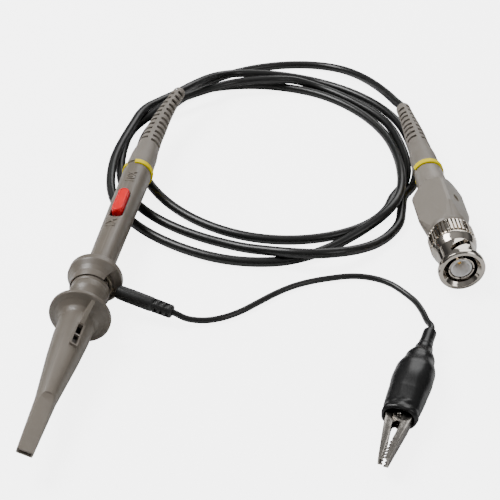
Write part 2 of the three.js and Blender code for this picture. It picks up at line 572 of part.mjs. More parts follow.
// outside to +Y, then the inside back
const CLIP_BOOT_ROWS = [
  [0, 4.8, 3.75], [3, 5, 3.95], [9, 5.25, 4.25], [15, 5.7, 4.6], [19, 5.65, 4.5],
  [25, 4.1, 3.5], [31.6, 2.25, 2.1], [33, 2.1, 2.05], [37.6, 2.05, 2], [38.8, 1.6, 1.6],
  [38.8, 1.15, 1.15], [32.5, 1.15, 1.15], [29, 1.9, 1.75], [24, 3.5, 2.9], [19, 4.8, 3.7],
  [15, 4.85, 3.8], [9, 4.45, 3.45], [3, 4.3, 3.25], [0, 4.15, 3.05],
];
addPart(clip, 'clip_boot', ovalShell(CLIP_BOOT_ROWS, 18, 2.3), FINISH.clipBoot);

// toothed jaw: a back strip between two cheeks; side is +1 or -1 along X
function jaw(side, width) {
  const cheek = 0.4;
  const outerEdge = [[1.4, -17], [3.2, -3.6], [3.5, 0], [3.7, 6], [4, 13.6]];
  const teeth = [5, 4, 3, 2, 1, 0].flatMap((i) => {
    const y = -16.6 + i * 1.15;
    return [[0.62, y + 0.6], [0.14, y]];
  });
  const cheekPoints = [
    [0.14, -17], ...outerEdge, [3, 13.6], [1.9, 5], [0.5, 1.75], [-1.3, 1], [-1.5, -0.6],
    [-0.9, -1.7], [1, -3], [1.45, -4.2], [1, -7.6], [0.62, -9.6], ...teeth,
  ];
  const backPoints = [[0.95, -17], ...outerEdge, [3.6, 13.6], [3.3, 6], [3.1, 0], [2.8, -3.6]];
  const layer = (points, thickness, z) => slab(points.map(([x, y]) => [side * x, y]), thickness, z);
  const cheekZ = (width - cheek) / 2;
  const body = join(
    layer(backPoints, width, 0),
    layer(cheekPoints, cheek, cheekZ),
    layer(cheekPoints, cheek, -cheekZ),
  );
  return cut(body, pegZ(0.65, 8));
}
addPart(clip, 'clip_jaw_fixed', jaw(1, 3.3), FINISH.smoothSteel);
addPart(clip, 'clip_jaw_moving', jaw(-1, 2.4), FINISH.smoothSteel);
addPart(clip, 'clip_pivot_pin', pegZ(0.5, 4.4), FINISH.smoothSteel);
addPart(clip, 'clip_spring', spring({
  coilR: 0.85, wireR: 0.16, turns: 3, steps: 30, start: -0.5, rise: 1,
  toPoint: (a, b, along) => new THREE.Vector3(a, b, along),
}), FINISH.steel);

export default root;
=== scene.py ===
"""A switchable 1X/10X test probe lying on a table, with its hook sleeve, barrel, coiled
cable, bayonet plug, and ground lead with crocodile clip.

Pieces are modelled in millimetres in their own frames and become metres in place().
In the part frame +Z is up and the probe lies along Y, its hook towards -Y and its cable
towards +Y. The plug's mating end and the clip's jaws also face their own -Y.
"""
import bmesh
import bpy
import math
import random
import numpy as np
from mathutils import Matrix, Vector


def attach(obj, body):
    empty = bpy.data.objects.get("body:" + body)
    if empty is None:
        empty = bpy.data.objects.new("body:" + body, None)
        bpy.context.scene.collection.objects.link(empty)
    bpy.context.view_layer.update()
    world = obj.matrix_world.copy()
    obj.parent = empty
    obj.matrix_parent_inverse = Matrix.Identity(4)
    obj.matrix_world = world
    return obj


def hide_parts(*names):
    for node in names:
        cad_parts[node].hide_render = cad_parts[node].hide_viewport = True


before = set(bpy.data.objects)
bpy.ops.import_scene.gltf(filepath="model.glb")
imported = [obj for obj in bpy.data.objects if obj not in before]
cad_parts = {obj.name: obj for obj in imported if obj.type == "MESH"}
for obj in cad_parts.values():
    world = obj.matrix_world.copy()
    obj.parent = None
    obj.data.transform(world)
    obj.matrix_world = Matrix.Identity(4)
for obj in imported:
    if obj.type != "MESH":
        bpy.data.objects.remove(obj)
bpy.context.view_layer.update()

random.seed(4)


# ------------------------------------------------------------------ frames
def shift(x, y, z):
    matrix = np.eye(4)
    matrix[:3, 3] = (x, y, z)
    return matrix


def turn(axis, degrees):
    angle = math.radians(degrees)
    matrix = np.eye(4)
    i, j = {"x": (1, 2), "y": (2, 0), "z": (0, 1)}[axis]
    matrix[i, i] = matrix[j, j] = math.cos(angle)
    matrix[i, j] = -math.sin(angle)
    matrix[j, i] = math.sin(angle)
    return matrix


def at(matrix, x, y, z):
    return (matrix @ np.array([x, y, z, 1.0]))[:3]


CENTRE_X, CENTRE_Y = 51.344, 66.424  # the part-frame point over the world origin
LIFT = 0.013
AXIS_Z = 9.1  # height of the probe's axis
SWITCH_ROLL = -1.0
WINDOW_ROLL = 13.0  # of the sleeve's window and rib

PART = shift(-CENTRE_X, -CENTRE_Y, LIFT)
PROBE = PART @ shift(0, 0, AXIS_Z)
SLEEVE = PROBE @ turn("y", 22.0)
SWITCH = PROBE @ turn("y", SWITCH_ROLL)
PLUG_IN_PART = shift(109.3, 38.7, 7.3) @ turn("z", 11.5) @ turn("x", 2.2)
PLUG = PART @ PLUG_IN_PART
HOUSING = PLUG @ turn("y", -43.0)
CLIP_IN_PART = shift(91.9, -26.7, 4.8) @ turn("z", -12)
CLIP = PART @ CLIP_IN_PART


# ------------------------------------------------------------------ meshes
def raw(name, verts, faces):
    mesh = bpy.data.meshes.new(name)
    mesh.from_pydata(np.asarray(verts, float).tolist(), [], faces)
    mesh.validate()
    mesh.update()
    piece = bpy.data.objects.new(name, mesh)
    bpy.context.scene.collection.objects.link(piece)
    return piece


def tidy(piece):
    """Weld doubles and turn the faces outwards."""
    bm = bmesh.new()
    bm.from_mesh(piece.data)
    bmesh.ops.remove_doubles(bm, verts=bm.verts, dist=2e-4)
    bmesh.ops.dissolve_degenerate(bm, edges=bm.edges, dist=1e-5)
    bmesh.ops.recalc_face_normals(bm, faces=bm.faces)
    bm.to_mesh(piece.data)
    bm.free()
    piece.data.update()
    return piece


def grid(name, rings, loop=False):
    """Skin over rings of equal count: capped with fans, or joined last to first."""
    rings = np.asarray(rings, float)
    count, sides = rings.shape[:2]
    verts = rings.reshape(-1, 3).tolist()
    faces = []
    for i in range(count if loop else count - 1):
        here, there = i * sides, ((i + 1) % count) * sides
        for j in range(sides):
            k = (j + 1) % sides
            faces.append((here + j, here + k, there + k, there + j))
    if not loop:
        for i, flip in ((0, True), (count - 1, False)):
            hub = len(verts)
            verts.append(rings[i].mean(0).tolist())
            for j in range(sides):
                left, right = i * sides + j, i * sides + (j + 1) % sides
                faces.append((hub, right, left) if flip else (hub, left, right))
    return tidy(raw(name, verts, faces))


def ease(t):
    return t * t * (3 - 2 * t)


def angles(count):
    return np.linspace(0, 2 * math.pi, count, endpoint=False)


def hoop(radius, y, count):
    """Ring about Y; the radius may vary from point to point."""
    around = angles(count)
    return np.stack([radius * np.cos(around), np.full(count, y), radius * np.sin(around)], 1)


def round_corners(corners, radius=0.0, steps=3, loop=True):
    """Rows are two coordinates and an optional corner radius instead of the shared one."""
    out, count = [], len(corners)
    for i, corner in enumerate(corners):
        point = np.array(corner[:2], float)
        own_radius = corner[2] if len(corner) > 2 else radius
        if (not loop and i in (0, count - 1)) or own_radius <= 0:
            out.append(point)
            continue
        back = np.array(corners[i - 1][:2]) - point
        ahead = np.array(corners[(i + 1) % count][:2]) - point
        back_length, ahead_length = np.linalg.norm(back), np.linalg.norm(ahead)
        back, ahead = back / back_length, ahead / ahead_length
        opening = math.acos(max(-1, min(1, float(back @ ahead))))
        if opening > math.radians(176):
            out.append(point)
            continue
        reach = min(own_radius / math.tan(opening / 2), back_length * 0.47, ahead_length * 0.47)
        start, end = point + back * reach, point + ahead * reach
        for k in range(steps + 1):
            t = k / steps
            out.append((1 - t) ** 2 * start + 2 * t * (1 - t) * point + t * t * end)
    return out


def rounded_rect(x0, x1, y0, y1, radius, steps):
    return round_corners([(x0, y0), (x1, y0), (x1, y1), (x0, y1)], radius, steps)


def lathe(name, profile, segments, corner=0.0, loop=True):
    """Turn a profile about Y; its rows are radius, y and corner radius."""
    points = round_corners(profile, corner, loop=loop)
    return grid(name, [hoop(radius, y, segments) for radius, y in points], loop)


def rod(name, axis, stations, sides, y=0):
    """Round bar along x or z; stations are place along the axis and radius."""
    rings = []
    for along, radius in stations:
        arms = [(radius * math.cos(a), radius * math.sin(a)) for a in angles(sides)]
        if axis == "x":
            rings.append([(along, y + u, v) for u, v in arms])
        else:
            rings.append([(u, y + v, along) for u, v in arms])
    return grid(name, rings)


def block(name, size, centre, matrix=None):
    signs = [(i, j, k) for i in (-1, 1) for j in (-1, 1) for k in (-1, 1)]
    verts = np.array([[s * d / 2 + c for s, d, c in zip(row, size, centre)] for row in signs], float)
    if matrix is not None:
        verts = verts @ matrix[:3, :3].T + matrix[:3, 3]
    faces = [(0, 1, 3, 2), (4, 6, 7, 5), (0, 4, 5, 1), (2, 3, 7, 6), (0, 2, 6, 4), (1, 5, 7, 3)]
    return tidy(raw(name, verts, faces))


def prism(name, outline, low, high, plane="xy"):
    """Outline extruded from low to high along the axis left over."""
    count = len(outline)
    verts = []
    for h in (low, high):
        verts += [(a, b, h) if plane == "xy" else (h, a, b) for a, b in outline]
    faces = [tuple(range(count))[::-1], tuple(range(count, 2 * count))]
    for i in range(count):
        j = (i + 1) % count
        faces.append((i, j, count + j, count + i))
    return tidy(raw(name, verts, faces))


def stadium(width, length, y, steps):
    """Slot outline along Y with round ends."""
    radius = width / 2
    out = []
    for start, side in ((0, 1), (math.pi, -1)):
        middle = y + side * (length / 2 - radius)
        for i in range(steps + 1):
            a = start + math.pi * i / steps
            out.append((radius * math.cos(a), middle + radius * math.sin(a)))
    return out


# ------------------------------------------------------------------ curves
def spline(points, per):
    """Centripetal Catmull-Rom curve, with per samples to a span."""
    points = np.asarray(points, float)
    points = np.vstack([2 * points[0] - points[1], points, 2 * points[-1] - points[-2]])
    out = []
    for i in range(1, len(points) - 2):
        level0 = points[i - 1 : i + 3]
        times = [0]
        for gap in np.diff(level0, axis=0):
            times.append(times[-1] + max(1e-6, np.linalg.norm(gap) ** 0.5))
        for k in range(per):
            t = times[1] + (times[2] - times[1]) * k / per

            def mix(level, j, low, high):
                span = times[high] - times[low]
                return (times[high] - t) / span * level[j] + (t - times[low]) / span * level[j + 1]

            level1 = [mix(level0, j, j, j + 1) for j in range(3)]
            level2 = [mix(level1, j, j, j + 2) for j in range(2)]
            out.append(mix(level2, 0, 1, 2))
    out.append(points[-2])
    return np.array(out)


def distances(points):
    steps = np.linalg.norm(np.diff(points, axis=0), axis=1)
    return np.concatenate([[0], np.cumsum(steps)])


def respace(points, step):
    points = np.asarray(points, float)
    along = distances(points)
    count = max(2, int(round(along[-1] / step)) + 1)
    even = np.linspace(0, along[-1], count)
    return np.stack([np.interp(even, along, points[:, k]) for k in range(3)], 1)


def axes_along(points, side=(0, 0, 1)):
    """Point, tangent and two cross directions all along a curve, without twist."""
    points = np.asarray(points, float)
    side = np.array(side, float)
    out = []
    last = len(points) - 1
    for i in range(last + 1):
        tangent = points[min(i + 1, last)] - points[max(i - 1, 0)]
        tangent = tangent / np.linalg.norm(tangent)
        side = side - (side @ tangent) * tangent
        side = side / np.linalg.norm(side)
        out.append((points[i], tangent, side.copy(), np.cross(tangent, side)))
    return out


def sweep(name, points, radius, sides=24, side=(0, 0, 1), inner=None):
    """Tube with radius(t), t from 0 to 1; solid with bevelled ends unless inner is given."""
    stations = axes_along(points, side)
    around = angles(sides)
    cosines, sines = np.cos(around)[:, None], np.sin(around)[:, None]

    def ring(station, r):
        return station[0] + r * (station[2] * cosines + station[3] * sines)

    last = len(stations) - 1
    outer = [ring(station, radius(i / last)) for i, station in enumerate(stations)]
    if inner is not None:
        return grid(name, outer + [ring(station, inner) for station in stations][::-1], True)
    r_start, r_end = radius(0.0), radius(1.0)
    bevel = 0.12 * min(r_start, r_end)
    first_cap = ring(stations[0], r_start - bevel)
    return grid(name, [first_cap] + outer + [ring(stations[-1], r_end - bevel)])


# ------------------------------------------------------------------ joining and placing
def bake(piece):
    depsgraph = bpy.context.evaluated_depsgraph_get()
    mesh = bpy.data.meshes.new_from_object(piece.evaluated_get(depsgraph))
    piece.modifiers.clear()
    piece.data = mesh


def combine(piece, tools, operation):
    for tool in tools:
        modifier = piece.modifiers.new("b", "BOOLEAN")
        modifier.object = tool
        modifier.operation = operation
        modifier.solver = "EXACT"
        bake(piece)
        bpy.data.objects.remove(tool)


def cut(piece, *tools):
    combine(piece, tools, "DIFFERENCE")


def add(piece, *tools):
    combine(piece, tools, "UNION")


def merge(name, pieces):
    verts, faces = [], []
    for piece in pieces:
        offset = len(verts)
        verts += [tuple(v.co) for v in piece.data.vertices]
        faces += [tuple(offset + i for i in p.vertices) for p in piece.data.polygons]
        bpy.data.objects.remove(piece)
    return raw(name, verts, faces)


def place(piece, matrix, look, body, angle=32, bevel=0.0, bevel_segments=2, bevel_angle=35):
    """Finish a piece and put it in the world; x_skin stands in for the CAD piece x."""
    if bevel > 0:
        modifier = piece.modifiers.new("bevel", "BEVEL")
        modifier.width = bevel
        modifier.segments = bevel_segments
        modifier.limit_method = "ANGLE"
        modifier.angle_limit = math.radians(bevel_angle)
        modifier.use_clamp_overlap = True
        bake(piece)
    to_metres = np.diag([0.001, 0.001, 0.001, 1.0])
    piece.data.transform(Matrix((to_metres @ matrix).tolist()))
    piece.data.materials.clear()
    piece.data.materials.append(look)
    for polygon in piece.data.polygons:
        polygon.use_smooth = True
    piece.data.set_sharp_from_angle(angle=math.radians(angle))
    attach(piece, body)
    if piece.name.endswith("_skin"):
        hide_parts(piece.name.removesuffix("_skin"))


def set_ramp(ramp, low, low_color, high, high_color):
    for element, position, color in zip(
        ramp.color_ramp.elements, (low, high), (low_color, high_color)
    ):
        element.position = position
        element.color = (*color, 1)


def make_look(name, slot, color, rough, rough_swing, grain, blotch, metal=0.0, grain_scale=3000.0,
              specular=0.5, edge=0.0, ripple=0.0, ripple_scale=400.0, dust=0.0):
    """Blotchy base colour, worn edges, dust specks, and a coarse ripple under fine grain."""
    look = bpy.data.materials.new(name)
    look.use_nodes = True
    nodes, links = look.node_tree.nodes, look.node_tree.links
    shader = nodes["Principled BSDF"].inputs
    shader["Metallic"].default_value = metal
    shader["Roughness"].default_value = rough
    shader["Specular IOR Level"].default_value = specular
    shader["Coat Roughness"].default_value = 0.12
    coords = nodes.new("ShaderNodeTexCoord")
    color = np.array(color)

    def noise(scale, detail):
        node = nodes.new("ShaderNodeTexNoise")
        node.inputs["Scale"].default_value = scale
        node.inputs["Detail"].default_value = detail
        links.new(coords.outputs["Object"], node.inputs["Vector"])
        return node.outputs["Fac"]

    def overlay(mask, low, high, strength, tint, under):
        ramp = nodes.new("ShaderNodeValToRGB")
        set_ramp(ramp, low, (0, 0, 0), high, (strength,) * 3)
        links.new(mask, ramp.inputs["Fac"])
        mix = nodes.new("ShaderNodeMixRGB")
        mix.inputs["Color2"].default_value = (*tint, 1)
        links.new(ramp.outputs["Color"], mix.inputs["Fac"])
        links.new(under, mix.inputs["Color1"])
        return mix.outputs["Color"]

    def bump(scale, strength, distance, under=None):
        height = noise(scale, detail=3)
        node = nodes.new("ShaderNodeBump")
        node.inputs["Strength"].default_value = strength
        node.inputs["Distance"].default_value = distance
        links.new(height, node.inputs["Height"])
        if under:
            links.new(under, node.inputs["Normal"])
        return node.outputs["Normal"]

    blotches = noise(scale=180, detail=5)
    ramp = nodes.new("ShaderNodeValToRGB")
    set_ramp(ramp, 0.3, color * (1 - blotch), 0.7, np.minimum(1, color * (1 + blotch)))
    links.new(blotches, ramp.inputs["Fac"])
    surface = ramp.outputs["Color"]
    if edge > 0:
        pointiness = nodes.new("ShaderNodeNewGeometry").outputs["Pointiness"]
        worn = np.minimum(1, color * 1.6 + 0.03)
        surface = overlay(pointiness, low=0.5, high=0.62, strength=edge, tint=worn, under=surface)
    if dust > 0:
        specks = noise(scale=5200, detail=2)
        surface = overlay(specks, low=0.68, high=0.78, strength=dust,
                          tint=(0.35, 0.34, 0.32), under=surface)
    links.new(surface, shader["Base Color"])

    rough_noise = noise(scale=900, detail=4)
    spread = nodes.new("ShaderNodeMapRange")
    spread.inputs["To Min"].default_value = max(0.02, rough - rough_swing)
    spread.inputs["To Max"].default_value = min(1, rough + rough_swing)
    links.new(rough_noise, spread.inputs["Value"])
    links.new(spread.outputs["Result"], shader["Roughness"])

    normal = None
    if ripple > 0:
        normal = bump(ripple_scale, strength=ripple, distance=0.0004)
    normal = bump(grain_scale, strength=grain, distance=0.00012, under=normal)
    links.new(normal, shader["Normal"])
    return look


MOULDED = dict(rough_swing=0.06, grain=0.30, grain_scale=4200, blotch=0.05, edge=0.3, ripple=0.05)
GREY = make_look("grey_plastic_look", "grey_plastic", color=(0.232, 0.207, 0.178), rough=0.38,
                 **MOULDED)
PROBE_GREY = make_look("probe_grey_look", "grey_plastic", color=(0.164, 0.141, 0.115), rough=0.36,
                       **MOULDED)
SOFT_GREY = make_look("grey_vinyl_look", "grey_rubber", color=(0.225, 0.200, 0.172), rough=0.5,
                      rough_swing=0.08, grain=0.45, grain_scale=3600, blotch=0.06, edge=0.2)
# the carrier is grey plastic but is coloured near-black: painted shade for the dark inside of the
# sleeve's window
CARRIER_PAINTED_SHADE = make_look("carrier_painted_shade_look", "grey_plastic", color=(0.03, 0.028, 0.026), rough=0.5,
                      rough_swing=0.05, grain=0.3, blotch=0.05)
VINYL = make_look("black_vinyl_look", "black_vinyl", color=(0.0080, 0.0083, 0.0080), rough=0.33,
                  rough_swing=0.04, grain=0.05, grain_scale=1500, blotch=0.2,
                  ripple=0.05, ripple_scale=160)
RUBBER = make_look("black_rubber_look", "black_rubber", color=(0.0055, 0.0055, 0.0058), rough=0.30,
                   rough_swing=0.05, grain=0.10, grain_scale=1800, blotch=0.2, specular=0.42,
                   ripple=0.08, ripple_scale=200, edge=0.05, dust=0.03)
MOULD = make_look("black_mould_look", "black_rubber", color=(0.010, 0.0098, 0.0095), rough=0.42,
                  rough_swing=0.06, grain=0.35, grain_scale=2600, blotch=0.2, edge=0.25, dust=0.03)
NICKEL = make_look("nickel_look", "nickel", color=(0.53, 0.485, 0.43), rough=0.12, metal=1.0,
                   rough_swing=0.05, grain=0.04, grain_scale=1800, blotch=0.06, edge=0.15,
                   ripple=0.03, ripple_scale=700)
JAW_NICKEL = make_look("nickel_jaw_look", "nickel", color=(0.29, 0.27, 0.245), rough=0.24,
                       metal=1.0, rough_swing=0.1, grain=0.12, grain_scale=2200, blotch=0.12,
                       edge=0.5, ripple=0.12, ripple_scale=500)
STEEL = make_look("steel_look", "steel", color=(0.50, 0.48, 0.45), rough=0.25, metal=1.0,
                  rough_swing=0.06, grain=0.15, blotch=0.08)
TIN = make_look("tinned_brass_look", "gold", color=(0.40, 0.36, 0.29), rough=0.3, metal=1.0,
                rough_swing=0.06, grain=0.1, blotch=0.08)
GOLD = make_look("gold_look", "gold", color=(0.86, 0.58, 0.20), rough=0.2, metal=1.0,
                 rough_swing=0.05, grain=0.08, blotch=0.06)
YELLOW = make_look("yellow_look", "yellow_plastic", color=(1.0, 0.78, 0.0), rough=0.5,
                   rough_swing=0.06, specular=0.12, grain=0.2, blotch=0.05, edge=0.15)
RED = make_look("red_look", "red_plastic", color=(0.97, 0.010, 0.014), rough=0.36,
                rough_swing=0.07, specular=0.3, grain=0.25, grain_scale=2600, blotch=0.06,
                edge=0.25)
WHITE = make_look("white_insulator_look", "white_insulator", color=(0.92, 0.91, 0.90), rough=0.28,
                  rough_swing=0.05, grain=0.08, blotch=0.02)
BOARD = make_look("board_look", None, color=(0.03, 0.14, 0.05), rough=0.5,
                  rough_swing=0.05, grain=0.3, blotch=0.2)
BLUE = make_look("component_look", None, color=(0.10, 0.22, 0.34), rough=0.4,
                 rough_swing=0.05, grain=0.1, blotch=0.1)

# ------------------------------------------------------------------ hook sleeve
TIP_Y = -56
SLEEVE_PROFILE = [
    (0.45, TIP_Y, 0.1), (2.25, TIP_Y, 0.15), (2.9, -37, 3), (4.5, -20, 8), (5.15, -10.5, 4),
    (5.2, -3.9, 2.0), (5.9, -2.5, 1.5), (7.3, -1.5, 1.5), (8.92, -0.82, 0.2), (9.1, -0.55, 0.15),
    (9.1, 0.35, 0.25), (8.6, 0.9, 0.5), (6.3, 2.0, 1.4), (5.1, 3.4, 1.2), (4.9, 4.9, 1.2),
    (5.3, 6.9, 1.2), (5.75, 8.2, 1.0), (5.87, 9.7, 0.5), (5.68, 10.7, 0.4), (5.87, 11.3, 0.2),
    (5.87, 12.2, 0.12), (3.95, 12.2, 0.1), (3.95, -12, 0.1), (2.5, -13.2, 0.1), (2.5, -36, 0.1),
    (0.45, -37.4, 0.1),
]
# y, z of the cuts that flatten the tip above and below
TIP_CUT = [(-35.8, 3.3), (-36.4, 2.66), (-37.4, 2.28), (-39.0, 2.07), (-57, 0.78), (-57, 7),
           (-36.0, 7)]
RIB = [(-0.9, 4.3), (-0.9, 8.3), (-1.5, 8.25), (-9.0, 5.55), (-9.0, 4.3)]  # y, z
BEZEL = rounded_rect(-1.22, 1.22, -18.0, -8.9, radius=0.4, steps=4)
WINDOW = rounded_rect(-0.8, 0.8, -17.5, -9.35, radius=0.25, steps=3)
window_turn = turn("y", WINDOW_ROLL)


def turned(tool):
    tool.data.transform(Matrix(window_turn.tolist()))
    return tool


sleeve = lathe("hook_sleeve_skin", SLEEVE_PROFILE, 112)
add(sleeve, turned(prism("rib", RIB, -0.55, 0.55, "yz")))
for side in (1, -1):
    cut(sleeve, prism("flat", [(y, side * z) for y, z in TIP_CUT], -7, 7, "yz"))
add(sleeve, turned(prism("bezel", BEZEL, 4.0, 5.30)))
cut(sleeve, turned(prism("hole", WINDOW, 2.6, 8)))
cut(sleeve, block("mouth", size=(3.3, 3.0, 0.86), centre=(0, TIP_Y + 0.6, 0)))
add(sleeve, block("bar", size=(2.0, 0.6, 0.7), centre=(0, -13.3, 4.55), matrix=window_turn))
place(sleeve, SLEEVE, PROBE_GREY, "hook_sleeve", angle=19, bevel=0.1, bevel_angle=38)

CARRIER_PROFILE = [(0.42, -22), (2.2, -22), (2.2, -8.7), (3.7, -7.2), (3.7, 8), (3.15, 8),
                   (3.15, -6.7), (1.75, -8.2), (1.75, -19.4), (0.42, -20.4)]
carrier = lathe("hook_carrier_skin", CARRIER_PROFILE, 64, corner=0.15)
place(carrier, PROBE, CARRIER_PAINTED_SHADE, "probe_body")

# x, y, z: straight down the sleeve, then round the hook
HOOK_PATH = [(0, -20.6, 0), (0, -30, 0), (0, -40, 0), (0, -50, 0), (0, -54.2, 0),
             (0.25, -54.95, 0), (0.8, -55.3, 0), (1.2, -54.9, 0), (1.25, -54.35, 0)]
HOOK_RADIUS = 0.27
hook = sweep("hook_wire_skin", spline(HOOK_PATH, 8), lambda t: HOOK_RADIUS, 16)
place(hook, SLEEVE, STEEL, "probe_body")

# ------------------------------------------------------------------ probe barrel
BARREL_FRONT_R, BARREL_REAR_R, BARREL_REAR_Y = 4.15, 4.85, 76
BARREL_PROFILE = [
    (3.45, 16.45, 0.1), (6.1, 16.45, 0.05), (6.1, 11.85, 0.05), (6.34, 11.85, 0.08),
    (6.65, 14.2, 1.2), (7.3, 15.7, 1.2), (8.15, 17.0, 0.4), (8.35, 17.4, 0.15), (8.35, 19.3, 0.35),
    (7.9, 19.85, 0.4), (5.35, 20.5, 1.0), (4.4, 22.2, 2.0), (BARREL_FRONT_R, 26, 3),
    (BARREL_REAR_R, BARREL_REAR_Y, 3), (BARREL_REAR_R, 78.7, 0.12), (4.4, 78.7, 0.05),
    (4.4, 81.2, 0.1), (3.45, 81.2, 0.1),
]
barrel = lathe("barrel_shell_skin", BARREL_PROFILE, 128)
cut(barrel, prism("slot", stadium(width=4.3, length=16.0, y=53.9, steps=20), 2.0, 8))
cut(barrel, block("notch", size=(6, 6.1, 8.7), centre=(7, 14.25, 0.15),
                  matrix=turn("y", -SWITCH_ROLL)))
place(barrel, SWITCH, PROBE_GREY, "probe_body", angle=30, bevel=0.09, bevel_angle=40)

# switch knob, domed with a sunk panel; rows are inset from its outline and z
KNOB_RINGS = [(0.15, 0.92), (0, 1.1), (0, 4.7), (0.04, 5.1), (0.15, 5.4), (0.32, 5.58),
              (0.52, 5.67), (0.62, 5.66), (0.7, 5.52), (0.8, 5.46), (1.0, 5.48), (1.4, 5.52)]
KNOB_WIDTH, KNOB_LENGTH, KNOB_Y = 3.7, 13.4, 54.9


def knob_ring(inset, z):
    outline = stadium(KNOB_WIDTH - 2 * inset, KNOB_LENGTH - 2 * inset, KNOB_Y, 18)
    return [(x, y, z) for x, y in outline]


knob = grid("switch_knob_skin", [knob_ring(inset, z) for inset, z in KNOB_RINGS])
place(knob, SWITCH, RED, "switch_slider", angle=50)


def barrel_radius(y):
    rise = max(0, min(1, (y - 25) / (BARREL_REAR_Y - 25)))
    return BARREL_FRONT_R + (BARREL_REAR_R - BARREL_FRONT_R) * rise


def raised_text(name, text, middle_y, degrees):
    """Letters that read along the barrel, wrapped on it degrees round from +Z towards +X."""
    curve = bpy.data.curves.new(name, "FONT")
    curve.body = text
    curve.size = 3.9
    curve.align_x = "CENTER"
    curve.align_y = "CENTER"
    curve.extrude = 0.32
    curve.offset = 0.07
    curve.resolution_u = 3
    flat_text = bpy.data.objects.new(name, curve)
    bpy.context.scene.collection.objects.link(flat_text)
    depsgraph = bpy.context.evaluated_depsgraph_get()
    mesh = bpy.data.meshes.new_from_object(flat_text.evaluated_get(depsgraph))
    bpy.data.objects.remove(flat_text)
    piece = bpy.data.objects.new(name, mesh)
    bpy.context.scene.collection.objects.link(piece)
    for vertex in mesh.vertices:
        along, across, height = vertex.co
        y = middle_y + along
        radius = barrel_radius(y) - 0.02 + height
        angle = -across / barrel_radius(y) + math.radians(degrees)
        vertex.co = (radius * math.sin(angle), y, radius * math.cos(angle))
    place(piece, SWITCH, PROBE_GREY, "probe_body", angle=60)


raised_text("ratio_mark_10x", "10X", middle_y=70.0, degrees=4)
raised_text("ratio_mark_1x", "1X", middle_y=42.4, degrees=-4)

# CAD pieces that keep their own mesh and only take a material
for node_name, look in (
    ("switch_wiper", GOLD), ("attenuator_board", BOARD), ("input_resistor", BLUE),
    ("contact_needle", STEEL), ("nose_insulator", MOULD), ("hook_spring", STEEL),
    ("plug_gasket", MOULD), ("coupling_spring_washer", STEEL), ("trimmer_capacitor", BLUE),
    ("compensation_board", BOARD), ("clip_spring", STEEL),
):
    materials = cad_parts[node_name].data.materials
    materials.clear()
    materials.append(look)

GROUND_BARREL_PROFILE = [(1.7, -6.3), (2.95, -6.3), (2.95, 14.35), (5.0, 14.35), (5.0, 16.15),
                         (3.1, 16.15), (3.1, 26), (1.7, 26)]
ground_barrel = lathe("ground_barrel_skin", GROUND_BARREL_PROFILE, 72, corner=0.1)
place(ground_barrel, PROBE, NICKEL, "probe_body")


def split_ring(name, outer, inner, y0, y1, gap_at, gap, matrix, look, body, corner=0.3):
    """Open ring; the middle of its gap is gap_at degrees round from +Z towards +X."""
    section = rounded_rect(inner, outer, y0, y1, corner, 4)
    start, end = math.radians(gap_at + gap / 2), math.radians(gap_at + 360 - gap / 2)
    rings = []
    steps = 120
    for i in range(steps + 1):
        a = start + (end - start) * i / steps
        rings.append([(r * math.sin(a), y, r * math.cos(a)) for r, y in section])
    place(grid(name, rings), matrix, look, body, angle=40)


split_ring("marker_ring_probe_skin", outer=5.28, inner=4.5, y0=78.9, y1=81.05,
           gap_at=-28, gap=44, matrix=PROBE, look=YELLOW, body="probe_body")
split_ring("marker_ring_plug_skin", outer=5.38, inner=4.52, y0=53.95, y1=56.1,
           gap_at=-100, gap=66, matrix=PLUG, look=YELLOW, body="probe_body")

# ------------------------------------------------------------------ signal cable
# x, y, z in the part frame, from inside the barrel to the end of its strain relief
RELIEF_PATH = [(0, 73.5, AXIS_Z), (0, 78, AXIS_Z), (0, 84, AXIS_Z), (0.05, 92, 9.15),
               (0.35, 104, 9.55), (1.25, 116, 10.45), (2.75, 126, 11.55), (4.75, 135.2, 12.5)]
